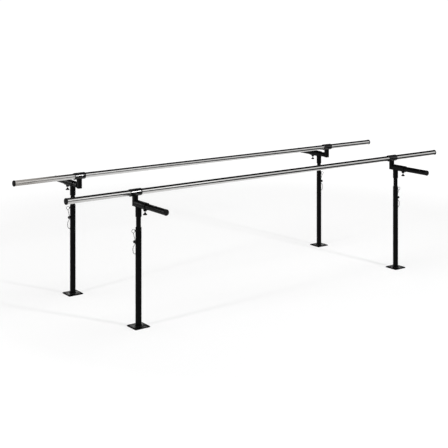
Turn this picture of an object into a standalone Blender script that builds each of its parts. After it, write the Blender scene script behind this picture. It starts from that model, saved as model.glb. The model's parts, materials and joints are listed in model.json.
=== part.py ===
"""Walking parallel bars, adjustable in height and width.

Four telescoping uprights on bolt-down plates carry two polished handrails.
Each upright has a head with a horizontal sleeve.  A slide arm runs through the
sleeve, and a square riser on its inboard end carries the rail in a saddle.
The far arms are set two holes further inboard than the near ones.
Metres, +Z up.  The origin is on the floor, in the middle of the length over the
rails and of the width over the arm caps.  X runs along the rails, and the near
pair of uprights stands at -Y.
"""

import math

import bmesh
import bpy
from mathutils import Matrix, Vector

# Whole object
POST_SPACING_X = 2.142      # between the uprights of one rail
POST_SPACING_Y = 0.808      # between the two rails' uprights
RAIL_LENGTH = 3.050         # over the end caps
RAIL_HEIGHT = 0.7752        # rail axis above the floor
RAIL_INSET = 0.0370         # rail axis inboard of the upright's axis, arm fully out
ARM_DROP = 0.0625           # slide arm axis below the rail axis
GAP = 0.0003                # air left between pieces that fit together
HEIGHT_PITCH = 0.0508       # between the height holes
WIDTH_PITCH = 0.0254        # between the width holes
FAR_HOLES_INBOARD = 2       # width setting of the far arms

# Base plate
PLATE_SIDE = 0.100
PLATE_THICK = 0.006
PLATE_CORNER = 0.005
PLATE_HOLE_RADIUS = 0.005
PLATE_HOLE_OFFSET = 0.037

# Outer tube, its guide bush and the inner tube
OUTER_RADIUS = 0.0180
OUTER_WALL = 0.0019
OUTER_TOP = 0.5760
BUSH_LENGTH = 0.0095
BUSH_FLANGE = 0.0018
BUSH_FLANGE_RADIUS = 0.0174
INNER_RADIUS = 0.0145
INNER_WALL = 0.0025
INNER_BOTTOM = 0.060

# Height setting
HEIGHT_PIN_HEIGHT = 0.560
HEIGHT_HOLE_RADIUS = 0.0046
HEIGHT_HOLES_BELOW = 5      # holes that raise the rail
HEIGHT_HOLES_ABOVE = 1      # hole that lowers the rail
HEIGHT_PIN_RADIUS = 0.0040
PIN_COLLAR_RADIUS = 0.0065
PIN_COLLAR_LENGTH = 0.0035
PULL_RING_RADIUS = 0.0105
PULL_RING_WIRE = 0.0014
HEIGHT_KNOB_HEIGHT = 0.497
KNOB_BOSS_RADIUS = 0.0070
KNOB_BOSS_LENGTH = 0.0040
KNOB_STEM_RADIUS = 0.0030
KNOB_STEM_HOLE = 0.0036
HEIGHT_KNOB_RADIUS = 0.0085
HEIGHT_KNOB_LENGTH = 0.0105
CHAIN_ANCHOR_HEIGHT = 0.425
CHAIN_RADIUS = 0.0016
ANCHOR_RADIUS = 0.0042
ANCHOR_LENGTH = 0.0030
CHAIN_RING_GAP = 0.0015     # below the pull ring, at rest
CHAIN_KNOB_GAP = 0.0060     # beside the tension knob
CHAIN_DRIFT = 0.0040        # towards the tube where it passes the knob
CHAIN_HANG_OUT = 0.0160     # outboard of the anchor, below the knob
CHAIN_HANG_DROP = 0.0350    # below the knob's axis
CHAIN_BEND_OUT = 0.0120     # outboard of the anchor, where the chain turns in
CHAIN_BEND_RISE = 0.0070    # above the anchor

# Head: vertical socket, horizontal sleeve, boss for the width pin
SOCKET_RADIUS = 0.0182
SOCKET_BOTTOM = 0.6390
SOCKET_BORE_TOP = 0.6890
SLEEVE_RADIUS = 0.0211
SLEEVE_BORE = 0.0179
SLEEVE_INBOARD = 0.0205
SLEEVE_OUTBOARD = 0.095
BOSS_RADIUS = 0.0100
BOSS_DROP = 0.0295          # boss face below the arm axis
BOSS_FLOOR = 0.0020
SPRING_ROOM_RADIUS = 0.0064

# Slide arm, riser and saddle
ARM_RADIUS = 0.01745
ARM_WALL = 0.0020
ARM_REACH = 0.297           # end of the arm's cap, outboard of the upright
ARM_CAP_LENGTH = 0.0075
ARM_CAP_RADIUS = 0.0182
CAP_PLUG_DEPTH = 0.014
RISER_SIDE = 0.0270
RISER_WALL = 0.0020
RISER_CORNER = 0.0025
RISER_BELOW_ARM = 0.0174
SADDLE_RADIUS = 0.0205
SADDLE_LENGTH = 0.076

# Width pin, pulled down out of the slide arm
WIDTH_PIN_OUTBOARD = 0.072
WIDTH_HOLE_RADIUS = 0.0046
WIDTH_HOLES = 7
WIDTH_PIN_TIP_RADIUS = 0.0040
WIDTH_PIN_TIP_DROP = 0.0149
WIDTH_PIN_COLLAR_RADIUS = 0.0060
WIDTH_PIN_COLLAR_TOP = 0.0189
WIDTH_PIN_COLLAR_THICK = 0.0013
WIDTH_PIN_STEM_RADIUS = 0.0030
PULL_KNOB_TOP = 0.0370
PULL_KNOB_HEIGHT = 0.0140
PULL_KNOB_NECK = 0.0046
PULL_KNOB_RADIUS = 0.0125
SPRING_COIL_RADIUS = 0.0048
SPRING_WIRE = 0.00035
SPRING_TURNS = 3.0

# Rail
RAIL_RADIUS = 0.01745
RAIL_WALL = 0.00165
RAIL_CAP_RADIUS = 0.0190
RAIL_CAP_LENGTH = 0.0050

# Roundness
TUBE_SEGMENTS = 20
SMALL_SEGMENTS = 12
HOLE_SEGMENTS = 8
SHARP_ANGLE = math.radians(35)
FLAT_ANGLE = math.radians(0.05)
MERGE_DISTANCE = 0.00001
SEAM_DISTANCE = 0.000001    # closes a turned solid's seam
CORNER_SEGMENTS = 3
SPRING_STEPS = 8            # per turn
SPRING_SIDES = 4
CHAIN_STEPS = 4             # between two points of the chain's path
CHAIN_SIDES = 5

# Rounded edges, as shares of the length they round
CAP_BEVEL_SHARE = 0.3
ARM_CAP_EDGE_SHARE = 0.5
RAIL_CAP_EDGE_SHARE = 0.4
PULL_KNOB_RIM_SHARE = 0.25
PULL_KNOB_EDGE_SHARE = 1.0 / 3.0
HEIGHT_KNOB_EDGE_SHARE = 0.15

ARM_HEIGHT = RAIL_HEIGHT - ARM_DROP
CUT_MARGIN = 0.002          # how far a cutter runs past the face it cuts

# Name, sign of X and sign of Y of each upright
UPRIGHTS = [
    ("near_left", -1, -1),
    ("near_right", 1, -1),
    ("far_left", -1, 1),
    ("far_right", 1, 1),
]


def clear_scene():
    for item in list(bpy.data.objects):
        bpy.data.objects.remove(item, do_unlink=True)


def material(name, colour, roughness, metallic):
    """Principled material with the part's own colour and finish."""
    made = bpy.data.materials.new(name)
    made.use_nodes = True
    shader = made.node_tree.nodes["Principled BSDF"]
    shader.inputs["Base Color"].default_value = (*colour, 1.0)
    shader.inputs["Roughness"].default_value = roughness
    shader.inputs["Metallic"].default_value = metallic
    return made


def turned(profile, segments=TUBE_SEGMENTS):
    """Solid of revolution about Z.  The profile is (radius, height) points.

    A profile that starts and ends on the axis makes a full solid, and any
    other is closed on itself and makes a ring.
    """
    solid = bmesh.new()
    points = [solid.verts.new((radius, 0.0, height)) for radius, height in profile]
    edges = [solid.edges.new(pair) for pair in zip(points, points[1:])]
    if profile[0][0] > 0.0:
        edges.append(solid.edges.new((points[-1], points[0])))
    bmesh.ops.spin(
        solid,
        geom=points + edges,
        cent=(0.0, 0.0, 0.0),
        axis=(0.0, 0.0, 1.0),
        angle=2.0 * math.pi,
        steps=segments,
        use_merge=True,
    )
    bmesh.ops.remove_doubles(solid, verts=solid.verts, dist=SEAM_DISTANCE)
    bmesh.ops.recalc_face_normals(solid, faces=solid.faces)
    return solid


def rod(radius, low, high, segments=TUBE_SEGMENTS):
    return turned([(0.0, low), (radius, low), (radius, high), (0.0, high)], segments)


def tube(radius, wall, low, high, segments=TUBE_SEGMENTS):
    bore = radius - wall
    return turned([(bore, low), (radius, low), (radius, high), (bore, high)], segments)


def block(side, corner, low, high):
    """Square prism about Z with rounded upright edges."""
    solid = bmesh.new()
    bmesh.ops.create_cube(solid, size=1.0)
    bmesh.ops.scale(solid, vec=(side, side, high - low), verts=solid.verts)
    bmesh.ops.translate(solid, vec=(0.0, 0.0, (high + low) / 2.0), verts=solid.verts)
    upright_edges = [
        edge for edge in solid.edges
        if abs(edge.verts[0].co.z - edge.verts[1].co.z) > (high - low) / 2.0
    ]
    bmesh.ops.bevel(
        solid,
        geom=upright_edges,
        offset=corner,
        segments=CORNER_SEGMENTS,
        profile=0.5,
        affect="EDGES",
    )
    return solid


def moved(solid, offset):
    bmesh.ops.translate(solid, vec=offset, verts=solid.verts)
    return solid


def laid_along_x(solid):
    """Turn a solid about Z into one about X.  Its top goes to +X."""
    bmesh.ops.rotate(solid, matrix=Matrix.Rotation(math.pi / 2.0, 3, "Y"), verts=solid.verts)
    return solid


def laid_along_y(solid):
    """Turn a solid about Z into one about Y.  Its top goes to -Y, outboard."""
    bmesh.ops.rotate(solid, matrix=Matrix.Rotation(math.pi / 2.0, 3, "X"), verts=solid.verts)
    return solid


def joined_cutters(solids):
    """One cutter from several separate solids."""
    together = bmesh.new()
    for solid in solids:
        step = bpy.data.meshes.new("cutter_step")
        solid.to_mesh(step)
        solid.free()
        together.from_mesh(step)
        bpy.data.meshes.remove(step)
    return together


def helper_object(name, solid):
    mesh = bpy.data.meshes.new(name)
    solid.to_mesh(mesh)
    solid.free()
    item = bpy.data.objects.new(name, mesh)
    item.hide_render = True
    item.display_type = "WIRE"
    bpy.context.collection.objects.link(item)
    return item


def combined(name, base, steps):
    """Unite or cut solids into the base, one after another, and return the mesh."""
    body = helper_object(name, base)
    for operation, solid in steps:
        helper = helper_object(f"{name}_{operation.lower()}", solid)
        modifier = body.modifiers.new(operation.lower(), "BOOLEAN")
        modifier.operation = operation
        modifier.solver = "EXACT"
        modifier.object = helper
        graph = bpy.context.evaluated_depsgraph_get()
        mesh = bpy.data.meshes.new_from_object(body.evaluated_get(graph), depsgraph=graph)
        body.modifiers.clear()
        body.data = mesh
        tidied(mesh)
        bpy.data.objects.remove(helper, do_unlink=True)
    mesh = body.data
    bpy.data.objects.remove(body, do_unlink=True)
    return finished(name, mesh)


def tidied(mesh):
    """Join points that a cut left almost together, and drop slivers and flat seams."""
    solid = bmesh.new()
    solid.from_mesh(mesh)
    bmesh.ops.remove_doubles(solid, verts=solid.verts, dist=MERGE_DISTANCE)
    bmesh.ops.dissolve_degenerate(solid, edges=solid.edges, dist=MERGE_DISTANCE)
    bmesh.ops.dissolve_limit(
        solid, angle_limit=FLAT_ANGLE, verts=solid.verts, edges=solid.edges
    )
    solid.to_mesh(mesh)
    solid.free()


def plain_mesh(name, solid):
    mesh = bpy.data.meshes.new(name)
    solid.to_mesh(mesh)
    solid.free()
    return finished(name, mesh)


def finished(name, mesh):
    """Smooth shading with crisp edges."""
    mesh.name = name
    mesh.shade_smooth()
    mesh.set_sharp_from_angle(angle=SHARP_ANGLE)
    return mesh


def base_plate_mesh():
    """Square steel plate with a bolt hole in each corner."""
    holes = []
    for side_x in (-1, 1):
        for side_y in (-1, 1):
            hole = rod(PLATE_HOLE_RADIUS, -CUT_MARGIN, PLATE_THICK + CUT_MARGIN, SMALL_SEGMENTS)
            holes.append(moved(hole, (side_x * PLATE_HOLE_OFFSET, side_y * PLATE_HOLE_OFFSET, 0.0)))
    plate = block(PLATE_SIDE, PLATE_CORNER, 0.0, PLATE_THICK)
    return combined("base_plate", plate, [("DIFFERENCE", joined_cutters(holes))])


def outer_tube_mesh():
    """Fixed tube with a knob boss at -X and cross holes for pin and stem."""
    body = rod(OUTER_RADIUS, PLATE_THICK + GAP, OUTER_TOP)
    boss_reach = OUTER_RADIUS + KNOB_BOSS_LENGTH
    boss = laid_along_x(rod(KNOB_BOSS_RADIUS, -boss_reach, -INNER_RADIUS, SMALL_SEGMENTS))
    bore = rod(OUTER_RADIUS - OUTER_WALL, 0.0, OUTER_TOP + CUT_MARGIN)
    pin_hole = laid_along_x(
        rod(HEIGHT_HOLE_RADIUS, -OUTER_RADIUS - CUT_MARGIN, OUTER_RADIUS + CUT_MARGIN, HOLE_SEGMENTS)
    )
    stem_hole = laid_along_x(
        rod(KNOB_STEM_HOLE, -boss_reach - CUT_MARGIN, 0.0, SMALL_SEGMENTS)
    )
    return combined("outer_tube", body, [
        ("UNION", moved(boss, (0.0, 0.0, HEIGHT_KNOB_HEIGHT))),
        ("DIFFERENCE", bore),
        ("DIFFERENCE", moved(pin_hole, (0.0, 0.0, HEIGHT_PIN_HEIGHT))),
        ("DIFFERENCE", moved(stem_hole, (0.0, 0.0, HEIGHT_KNOB_HEIGHT))),
    ])


def guide_bush_mesh():
    """Nylon bush in the outer tube's mouth, with a flange on its rim."""
    bore = INNER_RADIUS + GAP
    wall = OUTER_RADIUS - OUTER_WALL - GAP
    rim = OUTER_TOP + GAP
    return plain_mesh("guide_bush", turned([
        (bore, OUTER_TOP - BUSH_LENGTH),
        (wall, OUTER_TOP - BUSH_LENGTH),
        (wall, rim),
        (BUSH_FLANGE_RADIUS, rim),
        (BUSH_FLANGE_RADIUS, rim + BUSH_FLANGE),
        (bore, rim + BUSH_FLANGE),
    ]))


def inner_tube_mesh():
    """Telescoping tube with a row of cross holes for the height pin."""
    body = tube(INNER_RADIUS, INNER_WALL, INNER_BOTTOM, SOCKET_BORE_TOP - GAP)
    holes = []
    for step in range(-HEIGHT_HOLES_BELOW, HEIGHT_HOLES_ABOVE + 1):
        reach = INNER_RADIUS + CUT_MARGIN
        hole = laid_along_x(rod(HEIGHT_HOLE_RADIUS, -reach, reach, HOLE_SEGMENTS))
        holes.append(moved(hole, (0.0, 0.0, HEIGHT_PIN_HEIGHT + step * HEIGHT_PITCH)))
    return combined("inner_tube", body, [("DIFFERENCE", joined_cutters(holes))])


def head_mesh():
    """Weldment of socket, sleeve and boss.  The sleeve runs along Y."""
    boss_low = ARM_HEIGHT - BOSS_DROP
    inside_bore = ARM_HEIGHT - SLEEVE_BORE / 2.0
    body = rod(SOCKET_RADIUS, SOCKET_BOTTOM, inside_bore)
    sleeve = laid_along_y(rod(SLEEVE_RADIUS, -SLEEVE_INBOARD, SLEEVE_OUTBOARD))
    boss = rod(BOSS_RADIUS, boss_low, inside_bore, SMALL_SEGMENTS)
    socket_bore = rod(INNER_RADIUS + GAP, SOCKET_BOTTOM - CUT_MARGIN, SOCKET_BORE_TOP)
    sleeve_bore = laid_along_y(
        rod(SLEEVE_BORE, -SLEEVE_INBOARD - CUT_MARGIN, SLEEVE_OUTBOARD + CUT_MARGIN)
    )
    spring_room = rod(
        SPRING_ROOM_RADIUS, boss_low + BOSS_FLOOR, inside_bore + CUT_MARGIN, SMALL_SEGMENTS
    )
    stem_hole = rod(
        KNOB_STEM_HOLE, boss_low - CUT_MARGIN, boss_low + BOSS_FLOOR + CUT_MARGIN, SMALL_SEGMENTS
    )
    boss_place = (0.0, -WIDTH_PIN_OUTBOARD, 0.0)
    arm_place = (0.0, 0.0, ARM_HEIGHT)
    return combined("head", body, [
        ("UNION", moved(sleeve, arm_place)),
        ("UNION", moved(boss, boss_place)),
        ("DIFFERENCE", moved(sleeve_bore, arm_place)),
        ("DIFFERENCE", socket_bore),
        ("DIFFERENCE", moved(spring_room, boss_place)),
        ("DIFFERENCE", moved(stem_hole, boss_place)),
    ])


def slide_arm_mesh():
    """Tube along Y from the riser's face outboard, with width holes below."""
    inboard = RAIL_INSET - RISER_SIDE / 2.0 - GAP
    outboard = ARM_REACH - ARM_CAP_LENGTH - GAP
    body = laid_along_y(tube(ARM_RADIUS, ARM_WALL, -inboard, outboard))
    holes = []
    for step in range(WIDTH_HOLES):
        hole = rod(WIDTH_HOLE_RADIUS, -ARM_RADIUS - CUT_MARGIN, 0.0, HOLE_SEGMENTS)
        holes.append(moved(hole, (0.0, -WIDTH_PIN_OUTBOARD - step * WIDTH_PITCH, 0.0)))
    cutter = moved(joined_cutters(holes), (0.0, 0.0, ARM_HEIGHT))
    arm = moved(body, (0.0, 0.0, ARM_HEIGHT))
    return combined("slide_arm", arm, [("DIFFERENCE", cutter)])


def cap_solid(shoulder_radius, shoulder_length, plug_radius, edge):
    """Push-in end cap about Z: plug below zero, rounded shoulder above."""
    bevel = edge * CAP_BEVEL_SHARE
    return turned([
        (0.0, -CAP_PLUG_DEPTH),
        (plug_radius, -CAP_PLUG_DEPTH),
        (plug_radius, 0.0),
        (shoulder_radius, 0.0),
        (shoulder_radius, shoulder_length - edge),
        (shoulder_radius - bevel, shoulder_length - bevel),
        (shoulder_radius - edge, shoulder_length),
        (0.0, shoulder_length),
    ])


def arm_cap_mesh():
    plug = ARM_RADIUS - ARM_WALL - GAP
    edge = ARM_CAP_LENGTH * ARM_CAP_EDGE_SHARE
    cap = laid_along_y(cap_solid(ARM_CAP_RADIUS, ARM_CAP_LENGTH, plug, edge))
    return plain_mesh("arm_cap", moved(cap, (0.0, ARM_CAP_LENGTH - ARM_REACH, ARM_HEIGHT)))


def riser_mesh():
    """Square tube, open at its foot, under the saddle that holds the rail."""
    low = ARM_HEIGHT - RISER_BELOW_ARM
    centre = (0.0, RAIL_INSET, 0.0)
    post = block(RISER_SIDE, RISER_CORNER, low, RAIL_HEIGHT)
    inside = RISER_SIDE - 2.0 * RISER_WALL
    hollow = block(inside, RISER_CORNER / 2.0, low - CUT_MARGIN, RAIL_HEIGHT - SADDLE_RADIUS)
    half = SADDLE_LENGTH / 2.0
    saddle = laid_along_x(rod(SADDLE_RADIUS, -half, half))
    rail_bore = laid_along_x(rod(RAIL_RADIUS + GAP, -half - CUT_MARGIN, half + CUT_MARGIN))
    saddle_place = (0.0, RAIL_INSET, RAIL_HEIGHT)
    return combined("riser", moved(post, centre), [
        ("UNION", moved(saddle, saddle_place)),
        ("DIFFERENCE", moved(rail_bore, saddle_place)),
        ("DIFFERENCE", moved(hollow, centre)),
    ])


def width_pin_mesh():
    """Plunger with its pull knob, turned about Z.  Heights are from the arm axis."""
    collar_low = -WIDTH_PIN_COLLAR_TOP - WIDTH_PIN_COLLAR_THICK
    knob_low = -PULL_KNOB_TOP - PULL_KNOB_HEIGHT
    rim = PULL_KNOB_HEIGHT * PULL_KNOB_RIM_SHARE
    edge = rim * PULL_KNOB_EDGE_SHARE
    return plain_mesh("width_pin", turned([
        (0.0, -WIDTH_PIN_TIP_DROP),
        (WIDTH_PIN_TIP_RADIUS, -WIDTH_PIN_TIP_DROP),
        (WIDTH_PIN_TIP_RADIUS, -WIDTH_PIN_COLLAR_TOP),
        (WIDTH_PIN_COLLAR_RADIUS, -WIDTH_PIN_COLLAR_TOP),
        (WIDTH_PIN_COLLAR_RADIUS, collar_low),
        (WIDTH_PIN_STEM_RADIUS, collar_low),
        (WIDTH_PIN_STEM_RADIUS, -PULL_KNOB_TOP),
        (PULL_KNOB_NECK, -PULL_KNOB_TOP),
        (PULL_KNOB_RADIUS, knob_low + rim),
        (PULL_KNOB_RADIUS, knob_low + edge),
        (PULL_KNOB_RADIUS - edge, knob_low),
        (0.0, knob_low),
    ], SMALL_SEGMENTS))


def swept(points, radius, sides):
    """Round bar along a run of points, with flat ends and no twist."""
    solid = bmesh.new()
    rings = []
    across = None
    for index, point in enumerate(points):
        before = points[max(index - 1, 0)]
        after = points[min(index + 1, len(points) - 1)]
        ahead = (after - before).normalized()
        if across is None:
            across = ahead.orthogonal()
        across = (across - ahead * across.dot(ahead)).normalized()
        other = across.cross(ahead)
        ring = []
        for side in range(sides):
            angle = 2.0 * math.pi * side / sides
            offset = across * math.cos(angle) + other * math.sin(angle)
            ring.append(solid.verts.new(point + offset * radius))
        rings.append(ring)
    for ring, following in zip(rings, rings[1:]):
        for side in range(sides):
            beside = (side + 1) % sides
            solid.faces.new((ring[side], ring[beside], following[beside], following[side]))
    solid.faces.new(rings[0])
    solid.faces.new(rings[-1])
    bmesh.ops.recalc_face_normals(solid, faces=solid.faces)
    return solid


def smooth_path(corners, steps):
    """Points of a Catmull-Rom curve through the corners."""
    padded = [corners[0] * 2.0 - corners[1]] + corners + [corners[-1] * 2.0 - corners[-2]]
    points = []
    for a, b, c, d in zip(padded, padded[1:], padded[2:], padded[3:]):
        for step in range(steps):
            share = step / steps
            points.append((
                b * 2.0
                + (c - a) * share
                + (a * 2.0 - b * 5.0 + c * 4.0 - d) * share ** 2
                + (b * 3.0 - a - c * 3.0 + d) * share ** 3
            ) / 2.0)
    points.append(corners[-1])
    return points


def spring_mesh():
    """Coil between the boss floor and the plunger's collar."""
    low = -BOSS_DROP + BOSS_FLOOR + SPRING_WIRE + GAP
    high = -WIDTH_PIN_COLLAR_TOP - WIDTH_PIN_COLLAR_THICK - SPRING_WIRE - GAP
    steps = int(SPRING_TURNS * SPRING_STEPS)
    points = []
    for step in range(steps + 1):
        share = step / steps
        angle = 2.0 * math.pi * SPRING_TURNS * share
        points.append(Vector((
            SPRING_COIL_RADIUS * math.cos(angle),
            SPRING_COIL_RADIUS * math.sin(angle),
            low + (high - low) * share,
        )))
    return plain_mesh("spring", swept(points, SPRING_WIRE, SPRING_SIDES))


def pull_ring():
    """Ring in the XZ plane, centred on the origin."""
    solid = bmesh.new()
    circle = [
        solid.verts.new((
            PULL_RING_RADIUS + PULL_RING_WIRE * math.cos(2.0 * math.pi * side / HOLE_SEGMENTS),
            PULL_RING_WIRE * math.sin(2.0 * math.pi * side / HOLE_SEGMENTS),
            0.0,
        ))
        for side in range(HOLE_SEGMENTS)
    ]
    edges = [solid.edges.new(pair) for pair in zip(circle, circle[1:] + circle[:1])]
    bmesh.ops.spin(
        solid,
        geom=circle + edges,
        cent=(0.0, 0.0, 0.0),
        axis=(0.0, 1.0, 0.0),
        angle=2.0 * math.pi,
        steps=SMALL_SEGMENTS,
        use_merge=True,
    )
    bmesh.ops.remove_doubles(solid, verts=solid.verts, dist=SEAM_DISTANCE)
    bmesh.ops.recalc_face_normals(solid, faces=solid.faces)
    return solid


def height_pin_mesh():
    """Lock pin along X through both tubes, with a collar and a pull ring at -X."""
    collar_face = OUTER_RADIUS + GAP
    head_end = collar_face + PIN_COLLAR_LENGTH
    neck_end = head_end + PULL_RING_WIRE * 2.0
    shank = laid_along_x(turned([
        (0.0, -neck_end),
        (HEIGHT_PIN_RADIUS, -neck_end),
        (HEIGHT_PIN_RADIUS, -head_end),
        (PIN_COLLAR_RADIUS, -head_end),
        (PIN_COLLAR_RADIUS, -collar_face),
        (HEIGHT_PIN_RADIUS, -collar_face),
        (HEIGHT_PIN_RADIUS, OUTER_RADIUS - HEIGHT_PIN_RADIUS / 2.0),
        (HEIGHT_PIN_RADIUS / 2.0, OUTER_RADIUS),
        (0.0, OUTER_RADIUS),
    ], HOLE_SEGMENTS))
    ring = moved(pull_ring(), (-neck_end - PULL_RING_RADIUS, 0.0, 0.0))
    return combined("height_pin", shank, [("UNION", ring)])


def height_knob_mesh():
    """Tension knob about X: threaded stem into the tube, round knob at -X."""
    knob_face = OUTER_RADIUS + KNOB_BOSS_LENGTH + GAP
    knob_end = knob_face + HEIGHT_KNOB_LENGTH
    edge = HEIGHT_KNOB_LENGTH * HEIGHT_KNOB_EDGE_SHARE
    return plain_mesh("height_knob", laid_along_x(turned([
        (0.0, -knob_end),
        (HEIGHT_KNOB_RADIUS - edge, -knob_end),
        (HEIGHT_KNOB_RADIUS, -knob_end + edge),
        (HEIGHT_KNOB_RADIUS, -knob_face - edge),
        (HEIGHT_KNOB_RADIUS - edge, -knob_face),
        (KNOB_STEM_RADIUS, -knob_face),
        (KNOB_STEM_RADIUS, -INNER_RADIUS - GAP),
        (0.0, -INNER_RADIUS - GAP),
    ], SMALL_SEGMENTS)))


def chain_mesh():
    """Lanyard from below the pull ring, past the knob, to its anchor screw."""
    ring_centre = OUTER_RADIUS + GAP + PIN_COLLAR_LENGTH + PULL_RING_WIRE * 2.0 + PULL_RING_RADIUS
    ring_foot = HEIGHT_PIN_HEIGHT - PULL_RING_RADIUS - PULL_RING_WIRE
    anchor_face = OUTER_RADIUS + GAP
    anchor_end = anchor_face + ANCHOR_LENGTH
    start = Vector((-ring_centre, 0.0, ring_foot - CHAIN_RING_GAP))
    beside_knob = Vector((
        -ring_centre + CHAIN_DRIFT,
        -HEIGHT_KNOB_RADIUS - CHAIN_KNOB_GAP,
        HEIGHT_KNOB_HEIGHT,
    ))
    hanging = Vector((
        -anchor_end - CHAIN_HANG_OUT,
        0.0,
        HEIGHT_KNOB_HEIGHT - CHAIN_HANG_DROP,
    ))
    bend = Vector((-anchor_end - CHAIN_BEND_OUT, 0.0, CHAIN_ANCHOR_HEIGHT + CHAIN_BEND_RISE))
    end = Vector((-anchor_end + ANCHOR_LENGTH / 2.0, 0.0, CHAIN_ANCHOR_HEIGHT))
    points = smooth_path([start, beside_knob, hanging, bend, end], CHAIN_STEPS)
    anchor = laid_along_x(rod(ANCHOR_RADIUS, -anchor_end, -anchor_face, SMALL_SEGMENTS))
    screw = moved(anchor, (0.0, 0.0, CHAIN_ANCHOR_HEIGHT))
    return combined("lanyard_chain", swept(points, CHAIN_RADIUS, CHAIN_SIDES), [("UNION", screw)])


def rail_mesh():
    half = RAIL_LENGTH / 2.0 - RAIL_CAP_LENGTH - GAP
    return plain_mesh("rail", laid_along_x(tube(RAIL_RADIUS, RAIL_WALL, -half, half)))


def rail_cap_mesh():
    """Cap for the +X end of a rail, with its shoulder at the origin."""
    plug = RAIL_RADIUS - RAIL_WALL - GAP
    edge = RAIL_CAP_LENGTH * RAIL_CAP_EDGE_SHARE
    cap = cap_solid(RAIL_CAP_RADIUS, RAIL_CAP_LENGTH, plug, edge)
    return plain_mesh("rail_cap", laid_along_x(cap))


def place(name, mesh, finish, parent, location, turn):
    """Put one named piece on its parent, turned about the upright."""
    if not mesh.materials:
        mesh.materials.append(finish)
    item = bpy.data.objects.new(name, mesh)
    bpy.context.collection.objects.link(item)
    item.parent = parent
    item.location = location
    item.rotation_euler = (0.0, 0.0, turn)
    return item


def anchor_empty(name, location):
    item = bpy.data.objects.new(name, None)
    item.location = location
    bpy.context.collection.objects.link(item)
    return item


def arm_setting(side_y):
    """How far the arms of the near (-1) or far (1) rail are slid inboard."""
    return FAR_HOLES_INBOARD * WIDTH_PITCH if side_y > 0 else 0.0


def middle_y():
    """Middle between the two pairs of uprights, which the far arms' setting shifts."""
    return (arm_setting(1) - arm_setting(-1)) / 2.0


def build_uprights(finishes):
    """Every piece of the four uprights."""
    plate = base_plate_mesh()
    outer = outer_tube_mesh()
    bush = guide_bush_mesh()
    inner = inner_tube_mesh()
    head = head_mesh()
    arm = slide_arm_mesh()
    arm_cap = arm_cap_mesh()
    riser = riser_mesh()
    width_pin = width_pin_mesh()
    spring = spring_mesh()
    height_pin = height_pin_mesh()
    height_knob = height_knob_mesh()
    chain = chain_mesh()
    for name, side_x, side_y in UPRIGHTS:
        x = side_x * POST_SPACING_X / 2.0
        y = middle_y() + side_y * POST_SPACING_Y / 2.0
        base = anchor_empty(f"upright_{name}", (x, y, 0.0))
        across = 0.0 if side_y < 0 else math.pi      # turns -Y outboard
        along = 0.0 if side_x < 0 else math.pi       # turns -X to the rail's end
        slid = (0.0, -arm_setting(side_y), 0.0)
        pin_location = (0.0, side_y * WIDTH_PIN_OUTBOARD, ARM_HEIGHT)
        place(f"base_plate_{name}", plate, finishes["plate"], base, (0, 0, 0), 0.0)
        place(f"outer_tube_{name}", outer, finishes["tube"], base, (0, 0, 0), along)
        place(f"guide_bush_{name}", bush, finishes["nylon"], base, (0, 0, 0), 0.0)
        place(f"inner_tube_{name}", inner, finishes["inner"], base, (0, 0, 0), 0.0)
        place(f"head_{name}", head, finishes["head"], base, (0, 0, 0), across)
        place(f"slide_arm_{name}", arm, finishes["arm"], base, slid, across)
        place(f"arm_cap_{name}", arm_cap, finishes["cap"], base, slid, across)
        place(f"riser_{name}", riser, finishes["riser"], base, slid, across)
        place(f"width_pin_{name}", width_pin, finishes["knob"], base, pin_location, across)
        place(f"width_spring_{name}", spring, finishes["spring"], base, pin_location, across)
        pin = (0, 0, HEIGHT_PIN_HEIGHT)
        knob = (0, 0, HEIGHT_KNOB_HEIGHT)
        place(f"height_pin_{name}", height_pin, finishes["zinc"], base, pin, along)
        place(f"height_knob_{name}", height_knob, finishes["knob"], base, knob, along)
        place(f"lanyard_chain_{name}", chain, finishes["chain"], base, (0, 0, 0), along)


def build_rails(finishes):
    """The two handrails and their four end caps."""
    rail = rail_mesh()
    cap = rail_cap_mesh()
    reach = RAIL_LENGTH / 2.0 - RAIL_CAP_LENGTH
    for name, side_y in (("near", -1), ("far", 1)):
        y = middle_y() + side_y * (POST_SPACING_Y / 2.0 - RAIL_INSET - arm_setting(side_y))
        axis = anchor_empty(f"rail_axis_{name}", (0.0, y, RAIL_HEIGHT))
        place(f"rail_{name}", rail, finishes["rail"], axis, (0, 0, 0), 0.0)
        place(f"rail_cap_{name}_right", cap, finishes["rail_cap"], axis, (reach, 0, 0), 0.0)
        place(f"rail_cap_{name}_left", cap, finishes["rail_cap"], axis, (-reach, 0, 0), math.pi)


def main():
    clear_scene()
    black = (0.012, 0.012, 0.013)
    finishes = {
        "plate": material("plate_powder_coat", black, 0.45, 0.0),
        "tube": material("tube_powder_coat", black, 0.38, 0.0),
        "inner": material("inner_tube_paint", black, 0.32, 0.0),
        "head": material("head_powder_coat", black, 0.38, 0.0),
        "arm": material("arm_powder_coat", black, 0.35, 0.0),
        "riser": material("riser_powder_coat", black, 0.33, 0.0),
        "nylon": material("bush_nylon", (0.02, 0.02, 0.02), 0.55, 0.0),
        "cap": material("arm_cap_plastic", (0.014, 0.014, 0.014), 0.5, 0.0),
        "rail_cap": material("rail_cap_plastic", (0.03, 0.03, 0.03), 0.5, 0.0),
        "knob": material("knob_plastic", (0.012, 0.012, 0.012), 0.4, 0.0),
        "zinc": material("pin_zinc", (0.75, 0.75, 0.74), 0.3, 1.0),
        "chain": material("chain_zinc", (0.72, 0.72, 0.70), 0.35, 1.0),
        "spring": material("spring_steel", (0.5, 0.5, 0.5), 0.35, 1.0),
        "rail": material("rail_stainless", (0.66, 0.66, 0.66), 0.16, 1.0),
    }
    build_uprights(finishes)
    build_rails(finishes)


main()
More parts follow.
